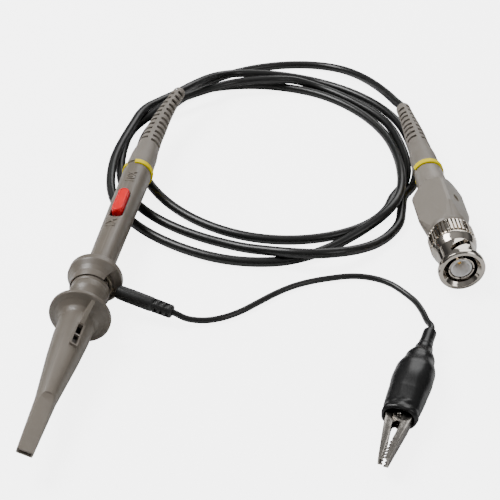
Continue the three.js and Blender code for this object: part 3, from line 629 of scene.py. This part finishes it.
# x, y, z in the part frame, round the coil to the plug's strain relief
COIL_PATH = [
    (6.57, 138.83, 12.38), (9.55, 146.16, 11.25), (12.4, 154, 9.48), (15.95, 161.16, 7.58),
    (21, 166.47, 6.07), (28.09, 169.1, 5.31), (36.29, 170.34, 4.67), (44.09, 172.19, 3.18),
    (51.39, 172.56, 1.97), (58.72, 170.17, 1.68), (65.77, 166.45, 1.6), (72.34, 161.63, 1.6),
    (78.23, 155.89, 1.62), (83.22, 149.44, 1.67), (87.14, 142.5, 1.7), (89.98, 135.2, 1.68),
    (92.01, 127.64, 1.63), (93.54, 119.91, 1.6), (94.6, 111.96, 1.6), (94.88, 103.79, 1.67),
    (93.7, 95.64, 1.83), (90.77, 87.96, 2.05), (90.29, 79.7, 1.91), (89.76, 72.05, 1.69),
    (87.06, 64.98, 1.6), (82.82, 58.34, 2.07), (77.46, 52.27, 3.47), (71.12, 47.56, 4.89),
    (63.93, 45, 5.46), (56.29, 44.92, 5.21), (48.64, 46.99, 3.92), (41.14, 49.92, 2.3),
    (33.71, 52.62, 1.62), (26.37, 55, 1.65), (19.13, 58.06, 1.79), (12.13, 62.24, 1.78),
    (5.68, 67.39, 1.69), (0.08, 73.34, 1.61), (-4.38, 79.9, 1.6), (-7.58, 86.96, 1.6),
    (-9.67, 94.45, 1.6), (-11.05, 102.29, 1.61), (-11.85, 110.45, 1.67), (-12, 118.78, 1.6),
    (-10.59, 126.53, 1.7), (-6.55, 132.82, 3.09), (-1.48, 138.55, 5.08), (3.98, 144.37, 5.37),
    (9.48, 150.22, 5.25), (15.41, 155.89, 5.05), (22.07, 160.35, 5.09), (29.58, 162.58, 5.49),
    (37.49, 164.41, 5.48), (45.3, 166.89, 4.44), (52.82, 167.16, 2.56), (59.91, 164.42, 1.77),
    (66.56, 159.61, 1.64), (72.73, 153.92, 1.7), (78.27, 148.02, 1.67), (82.8, 141.63, 1.61),
    (86.05, 134.45, 1.6), (88.39, 126.66, 1.6), (90.23, 118.63, 1.6), (91.29, 110.68, 1.6),
    (91.42, 103, 1.6), (90.16, 95.54, 1.6), (87.29, 88, 1.6), (85.42, 80.24, 1.6),
    (82.05, 73.34, 1.6), (77.05, 67.47, 1.6), (70.71, 62.8, 1.6), (63.46, 59.42, 1.6),
    (55.7, 57.4, 1.6), (47.77, 56.83, 1.6), (39.98, 57.72, 1.6), (32.44, 59.97, 1.6),
    (25.28, 63.42, 1.6), (18.59, 67.91, 1.6), (12.49, 73.31, 1.6), (7.08, 79.46, 1.6),
    (2.46, 86.22, 1.6), (-1.25, 93.43, 1.6), (-3.94, 100.95, 1.6), (-5.5, 108.64, 1.6),
    (-5.94, 116.42, 1.6), (-5.26, 124.25, 1.6), (-3.44, 132.07, 1.6), (-1.41, 139.92, 1.6),
    (1.15, 147.66, 1.62), (4.99, 154.71, 1.63), (10.61, 160.01, 1.61), (17.69, 163.46, 1.6),
    (25.4, 165.53, 1.6), (33.36, 166.27, 1.6), (41.35, 165.59, 1.6), (49.13, 163.87, 1.63),
    (56.47, 160.93, 1.64), (63.24, 156.69, 1.61), (69.36, 151.41, 1.6), (74.74, 145.36, 1.6),
    (79.28, 138.75, 1.6), (82.85, 131.79, 1.71), (85.4, 124.55, 2.02), (87.2, 117.07, 2.61),
    (88.49, 109.32, 3.5), (89.33, 101.27, 4.56), (89.78, 93.03, 5.11), (89.31, 84.82, 5.51),
    (87.51, 77.03, 5.71), (83.99, 70.21, 5.11), (78.88, 64.42, 3.67), (73.04, 59.03, 2.29),
    (67.09, 53.62, 1.69), (60.78, 48.76, 1.61), (53.68, 45.19, 1.6), (45.71, 43.55, 1.6),
    (37.72, 43.46, 1.61), (29.98, 44.71, 1.7), (22.49, 47.19, 1.8), (15.26, 50.78, 1.79),
    (8.41, 55.35, 1.68), (2.2, 60.77, 1.6), (-3.11, 66.91, 1.6), (-7.24, 73.65, 1.74),
    (-10.02, 80.86, 2.33), (-11.59, 88.44, 3.27), (-12.22, 96.29, 4.41), (-11.92, 104.35, 5.14),
    (-11.19, 112.51, 5.56), (-10.39, 120.68, 5.7), (-9.7, 128.79, 5.55), (-8.25, 136.68, 4.61),
    (-5.65, 144.09, 3.22), (-2.23, 151.14, 2.23), (2.26, 157.73, 1.74), (7.43, 163.92, 1.6),
    (12.93, 169.75, 1.6), (18.88, 175.06, 1.65), (25.43, 179.7, 1.7), (32.67, 183.52, 1.66),
    (40.41, 186.2, 1.6), (48.26, 187.39, 1.6), (55.82, 186.7, 1.77), (62.72, 183.75, 2.28),
    (68.65, 178.44, 3.21), (73.59, 171.57, 4.44), (77.61, 164.11, 5.85), (80.76, 156.92, 7.28),
    (83.4, 149.98, 8.67), (85.96, 142.86, 9.96),
]
CABLE_RADIUS = 1.6
# x, y, z in the plug frame, from inside the housing outwards
PLUG_TAIL = [(0, 47, 0), (0, 52, 0), (0, 58, 0), (0, 66, 0), (0, 75, 0), (-0.35, 88, 0),
             (-0.9, 99, 0.15)]
plug_tail = [at(PLUG_IN_PART, *point) for point in PLUG_TAIL]
cable_path = spline([*RELIEF_PATH, *COIL_PATH, *plug_tail[::-1]], 12)
cable = sweep("signal_cable_skin", respace(cable_path, 1.6), lambda t: CABLE_RADIUS, 28, (1, 0, 0))
place(cable, PART, VINYL, "probe_body", angle=60)

# ------------------------------------------------------------------ strain reliefs
RELIEF_RADIUS, RELIEF_BORE = 4.75, 1.9
FIRST_SLOT = 15.5  # along the relief
SLOT_LENGTH, SLOT_DEPTH, SLOT_FLOOR = 1.38, 5, 1.72  # the floor is a radius


def strain_relief(name, path, end_radius, pitch, count, roll):
    """Tapered sleeve with four rows of cross slots, every other row half a pitch along."""
    path = respace(path, 0.45)
    # fraction of the length, radius
    stations = [(0, RELIEF_RADIUS - 0.1), (0.01, RELIEF_RADIUS), (0.14, RELIEF_RADIUS - 0.18),
                (0.3, RELIEF_RADIUS - 0.8), (0.42, RELIEF_RADIUS - 1.08), (0.975, end_radius),
                (0.99, end_radius - 0.1), (1, end_radius - 0.3)]

    def radius(t):
        k = next(k for k in range(1, len(stations)) if t <= stations[k][0])
        (t_low, r_low), (t_high, r_high) = stations[k - 1 : k + 1]
        part = (t - t_low) / (t_high - t_low)
        return r_low + (r_high - r_low) * (ease(part) if 0.1 < t_low < 0.5 else part)

    relief = sweep(name, path, radius, 72, inner=RELIEF_BORE)
    axes = axes_along(path)
    along = distances(path)
    tools = []
    for row in range(4):
        for k in range(count):
            place_along = FIRST_SLOT + pitch * (k + (0.5 if row % 2 else 0))
            if place_along > along[-1] - 1.6:
                continue
            point, tangent, side, up = axes[int(np.searchsorted(along, place_along))]
            angle = math.radians(roll + 45 + 90 * row)
            outward = side * math.cos(angle) + up * math.sin(angle)
            matrix = np.eye(4)
            matrix[:3, 0] = np.cross(outward, tangent)
            matrix[:3, 1], matrix[:3, 2] = tangent, outward
            matrix[:3, 3] = point + outward * (SLOT_FLOOR + SLOT_DEPTH / 2)
            width = radius(place_along / along[-1]) * 1.12
            tools.append(block("slot", (width, SLOT_LENGTH, SLOT_DEPTH), (0, 0, 0), matrix))
    cut(relief, merge("slots", tools))
    place(relief, PART, SOFT_GREY, "probe_body", angle=30, bevel=0.1, bevel_angle=45)


path = spline(RELIEF_PATH, 24)
strain_relief("strain_relief_probe_skin", path[path[:, 1] > 81.4],
              end_radius=2.45, pitch=3.2, count=12, roll=8)
path = spline(plug_tail, 24)
relief_start = at(PLUG_IN_PART, 0, 56.6, 0)
plug_axis = at(PLUG_IN_PART, 0, 57.6, 0) - relief_start
strain_relief("strain_relief_plug_skin", path[((path - relief_start) @ plug_axis) > 0],
              end_radius=2.6, pitch=3.0, count=9, roll=0)

# ------------------------------------------------------------------ plug coupling
RIDGES = 38
COUPLING_SEGMENTS = RIDGES * 12
KNURL_RADIUS = 7.02
KNURL_START, KNURL_END = 12.3, 18.1
KNURL_STATIONS = (KNURL_START, 12.42, 12.55, 12.66, 13.5, 15, 16.5, 17.7, 17.85, 17.97, KNURL_END)
# radius, y, corner radius: the outside before the knurl, then its far end and the bore
COUPLING_FRONT = [
    (4.95, 1.1, 0.1), (5.7, 0.3, 0.25), (5.95, 0.0, 0.2), (6.85, 0.0, 0.3), (7.25, 0.4, 0.3),
    (7.25, 1.8, 0.35), (6.8, 2.4, 0.3), (6.2, 3.0, 0.5), (6.15, 8.8, 0.6), (6.6, 10.2, 0.5),
    (7.0, 11.2, 0.2),
]
COUPLING_BACK = [
    (7.0, 18.2, 0.2), (6.6, 18.6, 0.15), (4.95, 18.6, 0.1), (4.95, 15.7, 0.05), (5.8, 15.7, 0.05),
    (5.8, 12.2, 0.05), (4.95, 12.2, 0.05), (4.95, 1.1, 0.0),
]
CAM_SWEEP, CAM_START_Y, CAM_RISE, CAM_HALF_WIDTH = 51, 4.5, 2.85, 1.05
CAM_INNER, CAM_OUTER = 4.2, 7.6
EYE_RADIUS = 1.3  # round opening at the end of each cam slot


def knurled(y):
    """Ring with lengthwise ridges that fade out at both ends."""
    fade = min(1, (y - KNURL_START) / 0.35, (KNURL_END - y) / 0.35)
    phase = (angles(COUPLING_SEGMENTS) * RIDGES / (2 * math.pi)) % 1.0
    ridge = np.clip((0.36 - np.abs(phase - 0.5)) / 0.1, 0, 1)
    return hoop(KNURL_RADIUS - 0.62 + 0.92 * ease(ridge) * fade, y, COUPLING_SEGMENTS)


front = round_corners(COUPLING_FRONT, steps=4, loop=False) + [(KNURL_RADIUS, 11.9)]
# the last point would double the first
back = round_corners(COUPLING_BACK, steps=2, loop=False)[:-1]
rings = [hoop(radius, y, COUPLING_SEGMENTS) for radius, y in front]
rings += [knurled(y) for y in KNURL_STATIONS]
rings += [hoop(radius, y, COUPLING_SEGMENTS) for radius, y in back]
coupling = grid("coupling_sleeve_skin", rings, True)
for start in (60, 240):
    cam = []
    steps = 26
    for i in range(steps + 1):
        a = math.radians(start + CAM_SWEEP * i / steps)
        y = CAM_START_Y + CAM_RISE * (i / steps)
        outward = np.array([math.cos(a), 0, -math.sin(a)])
        cam.append([
            outward * radius + (0, y + side * CAM_HALF_WIDTH, 0)
            for radius, side in ((CAM_INNER, -1), (CAM_OUTER, -1), (CAM_OUTER, 1), (CAM_INNER, 1))
        ])
    cut(coupling, grid("cam", cam))
    around = np.array([-math.sin(a), 0, -math.cos(a)])
    eye = [
        [outward * radius + np.array([0, CAM_START_Y + CAM_RISE, 0])
         + EYE_RADIUS * (around * math.cos(q) + np.array([0, 1, 0]) * math.sin(q))
         for q in angles(28)]
        for radius in (CAM_INNER, CAM_OUTER)
    ]
    cut(coupling, grid("eye", eye))
place(coupling, PLUG, NICKEL, "coupling", angle=30, bevel=0.06, bevel_angle=50)

# ------------------------------------------------------------------ plug contacts
CONTACT_PROFILE = [
    (3.55, 1.2, 0.1), (4.02, 1.2, 0.12), (4.02, 10.4, 0.1), (4.65, 10.4, 0.1), (4.65, 12.6, 0.05),
    (5.45, 12.6, 0.1), (5.45, 14.1, 0.1), (4.65, 14.1, 0.05), (4.65, 23.5, 0.1), (2.6, 23.5, 0.1),
    (2.6, 12.1, 0.1), (3.55, 12.1, 0.1),
]
contact = lathe("plug_contact_body_skin", CONTACT_PROFILE, 96)
cut(contact, block("slit", size=(0.4, 7.5, 12), centre=(0, 4, 0)))
cut(contact, block("slit", size=(12, 7.5, 0.4), centre=(0, 4, 0)))
place(contact, PLUG, NICKEL, "probe_body", angle=30)

INSULATOR_PROFILE = [(3.3, 1.5, 0.15), (3.3, 11.8, 0.1), (0.8, 11.8, 0.1), (0.8, 8.5, 0.1),
                     (1.7, 5.2, 0.6), (2.7, 1.5, 0.2)]
place(lathe("plug_insulator_skin", INSULATOR_PROFILE, 96), PLUG, WHITE, "probe_body")

PIN_PROFILE = [(0.0, 4.55, 0), (0.28, 4.5, 0.05), (0.34, 4.22, 0.05), (0.5, 4.24, 0.1),
               (0.62, 4.7, 0.2), (0.62, 22.5, 0.05), (0, 22.5, 0)]
place(lathe("plug_pin_skin", PIN_PROFILE, 40, loop=False), PLUG, GOLD, "probe_body")

# ------------------------------------------------------------------ compensation housing
# square core trimmed by a turned envelope, with round collar and neck
TRIMMER_Y = 33
CORE = rounded_rect(-6.45, 6.45, -5.95, 5.95, radius=0.85, steps=6)  # x, z
ENVELOPE_PROFILE = [(0, 20.0, 0), (6.15, 20.0, 0), (6.42, 20.9, 0.3), (8.22, 27.2, 0.5),
                    (8.32, 39.4, 0.6), (5.0, 44.6, 0.8), (5.0, 49.5, 0), (0, 49.5, 0)]
COLLAR_PROFILE = [(0, 19.3, 0), (6.15, 19.3, 0.15), (6.42, 20.1, 0.3), (6.42, 21.3, 0.1),
                  (0, 21.3, 0)]
NECK_PROFILE = [(0, 43.9, 0), (5.06, 43.9, 0.1), (4.95, 49.0, 0.5), (4.85, 53.7, 0.1),
                (4.4, 53.7, 0.05), (4.4, 56.3, 0.1), (0, 56.3, 0)]
BORE_PROFILE = [(0, 19.0, 0), (4.95, 19.0, 0), (4.95, 39.8, 0.3), (3.95, 43.8, 0.3),
                (2.0, 47.5, 0.2), (2.0, 57.0, 0), (0, 57.0, 0)]
housing = grid("compensation_housing_skin", [[(x, y, z) for x, z in CORE] for y in (20.8, 47.6)])
combine(housing, [lathe("envelope", ENVELOPE_PROFILE, 144, loop=False)], "INTERSECT")
add(housing, lathe("collar", COLLAR_PROFILE, 144, loop=False))
add(housing, lathe("neck", NECK_PROFILE, 144, loop=False))
cut(housing, lathe("bore", BORE_PROFILE, 96, loop=False))
cut(housing, rod("hole", "x", [(4.0, 1.5), (8.0, 1.5)], 40, TRIMMER_Y))
place(housing, HOUSING, GREY, "probe_body", angle=24, bevel=0.14, bevel_segments=3, bevel_angle=22)

SCREW_STATIONS = [(3.3, 1.05), (3.4, 1.15), (5.25, 1.15), (5.4, 1.02)]  # x, radius
screw = rod("trimmer_screw_skin", "x", SCREW_STATIONS, 40, TRIMMER_Y)
cut(screw, block("slit", size=(1.0, 3, 0.4), centre=(5.2, TRIMMER_Y, 0)))
place(screw, HOUSING, GOLD, "trimmer")

# ------------------------------------------------------------------ ground lead
# the lead's frame: Y runs from the collar to LEAD_TOWARDS, Z leans downwards
LEAD_START = np.array([6.2, 15.35, -1.55])
LEAD_TOWARDS = np.array([24.6, 11.5, -5.1])
lead_axis = (LEAD_TOWARDS - LEAD_START) / np.linalg.norm(LEAD_TOWARDS - LEAD_START)
level = np.cross([0, 0, 1.0], lead_axis)
level /= np.linalg.norm(level)
lead_frame = np.eye(4)
lead_frame[:3, 1], lead_frame[:3, 2] = lead_axis, np.cross(level, lead_axis)
lead_frame[:3, 0] = np.cross(lead_frame[:3, 1], lead_frame[:3, 2])
lead_frame[:3, 3] = LEAD_START
LEAD = PROBE @ lead_frame

LEAD_BOOT_PROFILE = [
    (1.12, 1.2, 0.05), (1.9, 1.2, 0.2), (2.15, 1.9, 0.4), (2.25, 5.5, 3), (2.22, 12.3, 0.3),
    (2.0, 12.9, 0.2), (2.12, 13.4, 0.2), (2.05, 18.7, 0.3), (1.6, 19.1, 0.2), (1.12, 19.1, 0.05),
]
lead_boot = lathe("ground_lead_boot_skin", LEAD_BOOT_PROFILE, 64)
# rungs at the wire end: pairs of notches, alternately across Z and across X
for k in range(3):
    y = 13.35 + 1.85 * k
    cut(lead_boot, merge("rungs", [
        block("notch", size=(2.5, 0.95, 2.0), centre=(0, y, side * 2.22)) for side in (-1, 1)]))
    cut(lead_boot, merge("rungs", [
        block("notch", size=(2.0, 0.8, 1.5), centre=(side * 2.3, y + 0.9, 0)) for side in (-1, 1)]))
place(lead_boot, LEAD, MOULD, "ground_lead", bevel=0.1)

split_ring("ground_collar_skin", outer=5.88, inner=5.2, y0=14.6, y1=16.15, gap_at=-60, gap=30,
           matrix=PROBE, look=TIN, body="ground_lead", corner=0.12)
tab = block("ground_collar_tab", size=(0.5, 5.2, 1.4), centre=(0, 1.7, 0))
place(tab, LEAD, TIN, "ground_lead", bevel=0.08)

# x, y, z in the part frame, between the lead's boot and the clip's
LEAD_PATH = [
    (28.82, 11.29, 2.2), (33.92, 12.5, 1.1), (38.96, 14.6, 1), (43.83, 18.27, 1),
    (48.56, 23.43, 1), (53.41, 28.76, 1), (58.44, 33.16, 1), (63.7, 36.32, 1), (69.05, 38.61, 1),
    (74.51, 40.39, 1), (78.93, 40.86, 1), (83.97, 40.02, 1), (88.43, 37.79, 1), (92.35, 34.07, 1),
    (95.67, 29.56, 1.3), (97.78, 23.76, 2.2), (99.04, 17.99, 3.4),
]
# x, y in the clip frame, in through the clip's boot
CLIP_TAIL = [(0, 40.5), (0, 35), (0.1, 28), (1.0, 21), (2.2, 15.6)]
LEAD_RADIUS = 0.95
in_boot = [LEAD_START + lead_axis * y + np.array([0, 0, AXIS_Z]) for y in (5.2, 12, 19.4)]
in_clip = [at(CLIP_IN_PART, x, y, 0) for x, y in CLIP_TAIL]
lead_path = respace(spline([*in_boot, *LEAD_PATH, *in_clip], 12), 1.0)
lead = sweep("ground_wire_skin", lead_path, lambda t: LEAD_RADIUS)
place(lead, PART, VINYL, "ground_lead", angle=60)

# ------------------------------------------------------------------ crocodile clip boot
# y, half width, half height, superellipse exponent; a fifth value eases to the next row
CLIP_OUTSIDE = [
    (0.2, 4.6, 3.6, 2.3), (0.55, 4.9, 3.88, 2.3), (1.4, 4.95, 3.92, 2.3), (2.3, 4.76, 3.78, 2.3),
    (3.4, 4.92, 3.9, 2.3), (9, 5.35, 4.3, 2.25, 1), (15, 5.75, 4.6, 2.2, 1),
    (19, 5.55, 4.5, 2.2, 1), (25, 4.15, 3.5, 2.1, 1), (30, 2.6, 2.4, 2.0, 1),
    (32.2, 2.1, 2.08, 2.0), (33, 2.1, 2.05, 2), (33.4, 1.95, 1.92, 2), (37.6, 1.95, 1.92, 2),
    (38.2, 1.9, 1.88, 2), (38.8, 1.5, 1.5, 2),
]
CLIP_INSIDE = [
    (38.8, 1.15, 1.15, 2), (32.5, 1.15, 1.15, 2), (29, 1.9, 1.75, 2), (24, 3.5, 2.9, 2.1),
    (19, 4.8, 3.7, 2.2), (15, 4.85, 3.8, 2.2), (9, 4.45, 3.45, 2.3), (3, 4.3, 3.25, 2.3),
    (0.05, 4.15, 3.05, 2.3),
]


def oval(y, half_width, half_height, exponent, count=80):
    around = angles(count) + math.pi / count
    c, s = np.cos(around), np.sin(around)
    x = half_width * np.sign(c) * np.abs(c) ** (2 / exponent)
    z = half_height * np.sign(s) * np.abs(s) ** (2 / exponent)
    return np.stack([x, np.full(count, y), z], 1)


def fill_in(stations, step):
    """Ovals at the stations and at even steps between them."""
    rows = []
    for here, there in zip(stations, stations[1:]):
        count = max(1, int(abs(there[0] - here[0]) / step))
        for j in range(count):
            t = j / count
            weights = [t] + [ease(t) if len(here) > 4 else t] * 3
            rows.append([here[k] + (there[k] - here[k]) * weights[k] for k in range(4)])
    rows.append(stations[-1])
    return [oval(*row) for row in rows]


def dented(ring):
    """Shallow dents that fade out towards the wire end, and a wavy rim."""
    out = []
    for x, y, z in ring:
        a = math.atan2(z, x)
        dent = 0.06 * math.sin(2 * a + 0.35 * y) + 0.025 * math.sin(5 * a - 0.5 * y + 1.0)
        if y < 4:
            dent += 0.07 * math.sin(7 * a + 1.7 * y)
        dent *= max(0, min(1, (31 - y) / 6))
        grow = 1 + dent / math.hypot(x, z)
        rim = 0.22 * math.sin(3 * a + 1) if y < 1.6 else 0
        out.append((x * grow, y + rim, z * grow))
    return out


outside = [dented(ring) for ring in fill_in(CLIP_OUTSIDE, 0.35)]
clip_boot = grid("clip_boot_skin", outside + fill_in(CLIP_INSIDE, 1.0), True)
place(clip_boot, CLIP, RUBBER, "ground_lead", angle=50)

# ------------------------------------------------------------------ crocodile clip jaws
# x, y of the +X jaw: its outer edge, the inside of its back, and the inner edge of its walls
JAW_OUTER = [(1.4, -17), (3.2, -3.6), (3.5, 0), (3.7, 6), (4.0, 13.6)]
JAW_BACK = [(0.95, -17)] + JAW_OUTER + [(3.6, 13.6), (3.3, 6), (3.1, 0), (2.8, -3.6)]
JAW_INNER = [(3.0, 13.6), (1.9, 5), (0.5, 1.75), (-1.3, 1.0), (-1.5, -0.6), (-0.9, -1.7),
             (0.9, -3.0), (1.0, -4.2), (0.72, -7.6), (0.45, -9.6)]
TOOTH_COUNT, TOOTH_PITCH = 6, 1.15
teeth = []
for i in range(TOOTH_COUNT):
    y = -16.6 + i * TOOTH_PITCH
    teeth += [(0.14, y), (0.62, y + 0.6)]
JAW_WALL = [(0.14, -17)] + JAW_OUTER + JAW_INNER + teeth[::-1]
WALL_THICKNESS = 0.4


def jaw(name, side, half_width, body):
    back, wall = ([(side * x, y) for x, y in outline] for outline in (JAW_BACK, JAW_WALL))
    inner = half_width - WALL_THICKNESS
    piece = prism(name, back, -half_width, half_width)
    add(piece, prism("wall", wall, inner, half_width))
    add(piece, prism("wall", wall, -half_width, -inner))
    cut(piece, rod("hole", "z", [(-5, 0.65), (5, 0.65)], 32))
    place(piece, CLIP, JAW_NICKEL, body, angle=35, bevel=0.1)


jaw("clip_jaw_fixed_skin", 1, half_width=1.65, body="ground_lead")
jaw("clip_jaw_moving_skin", -1, half_width=1.2, body="clip_jaw")
PIVOT_STATIONS = [(-2.2, 0.36), (-2.05, 0.5), (2.05, 0.5), (2.2, 0.36)]  # z, radius
place(rod("clip_pivot_pin_skin", "z", PIVOT_STATIONS, 32), CLIP, STEEL, "ground_lead")

# ------------------------------------------------------------------ floor (metres from here on)
bpy.ops.mesh.primitive_plane_add(size=6, location=(0, 0, -0.00005))
floor = bpy.context.object
floor.name = "floor"
floor_look = bpy.data.materials.new("floor_look")
floor_look.use_nodes = True
nodes, links = floor_look.node_tree.nodes, floor_look.node_tree.links
matte = nodes["Principled BSDF"]
matte.inputs["Base Color"].default_value = (0.8, 0.8, 0.8, 1)
matte.inputs["Roughness"].default_value = 0.9
matte.inputs["Specular IOR Level"].default_value = 0.1
# only the camera sees the glow; the probe is lit by a plain pale floor
glow = nodes.new("ShaderNodeEmission")
glow.inputs["Strength"].default_value = 4.6
both = nodes.new("ShaderNodeAddShader")
light_path = nodes.new("ShaderNodeLightPath")
mix = nodes.new("ShaderNodeMixShader")
links.new(matte.outputs["BSDF"], both.inputs[0])
links.new(glow.outputs["Emission"], both.inputs[1])
links.new(light_path.outputs["Is Camera Ray"], mix.inputs["Fac"])
links.new(matte.outputs["BSDF"], mix.inputs[1])
links.new(both.outputs["Shader"], mix.inputs[2])
links.new(mix.outputs["Shader"], nodes["Material Output"].inputs["Surface"])
floor.data.materials.append(floor_look)

# ------------------------------------------------------------------ world
# a dome, brightest overhead; rows are ramp position and grey
SKY_ENDS = ((0.0, 0.10), (1.0, 0.9))
SKY_BETWEEN = ((0.25, 0.13), (0.5, 0.45), (0.75, 0.35))
world = bpy.data.worlds.new("world")
bpy.context.scene.world = world
world.use_nodes = True
nodes, links = world.node_tree.nodes, world.node_tree.links
background = nodes["Background"]
coords = nodes.new("ShaderNodeTexCoord")
split = nodes.new("ShaderNodeSeparateXYZ")
sky = nodes.new("ShaderNodeValToRGB")
(low, low_grey), (high, high_grey) = SKY_ENDS
set_ramp(sky, low, (low_grey,) * 3, high, (high_grey,) * 3)
for position, grey in SKY_BETWEEN:
    sky.color_ramp.elements.new(position).color = (grey, grey, grey, 1)
links.new(coords.outputs["Generated"], split.inputs["Vector"])
links.new(split.outputs["Z"], sky.inputs["Fac"])
links.new(sky.outputs["Color"], background.inputs["Color"])
background.inputs["Strength"].default_value = 0.6


# ------------------------------------------------------------------ lights and camera
def aim(staged, location, target):
    """Put an object at location with its -Z towards target."""
    staged.location = location
    direction = Vector(target) - Vector(location)
    staged.rotation_euler = direction.to_track_quat("-Z", "Y").to_euler()


def area_light(name, location, size, power):
    light = bpy.data.lights.new(name, "AREA")
    light.energy = power
    light.size = size
    lamp = bpy.data.objects.new(name, light)
    bpy.context.scene.collection.objects.link(lamp)
    aim(lamp, location, (0, 0, 0))


area_light("key", location=(-0.42, 0.10, 0.62), size=0.34, power=5.5)
area_light("fill", location=(0.60, -0.35, 0.45), size=0.30, power=1.0)
area_light("rim", location=(0.15, 0.70, 0.50), size=0.45, power=2.0)

lens = bpy.data.cameras.new("camera")
lens.lens = 85
lens.sensor_width = 36
lens.clip_start = 0.01
lens.clip_end = 20
camera = bpy.data.objects.new("camera", lens)
bpy.context.scene.collection.objects.link(camera)
camera_at = at(PART, 82.81, -259.55, 216.66) / 1000
camera_target = at(PART, 42.31, 52.24, 0) / 1000
aim(camera, camera_at.tolist(), camera_target.tolist())
bpy.context.scene.camera = camera
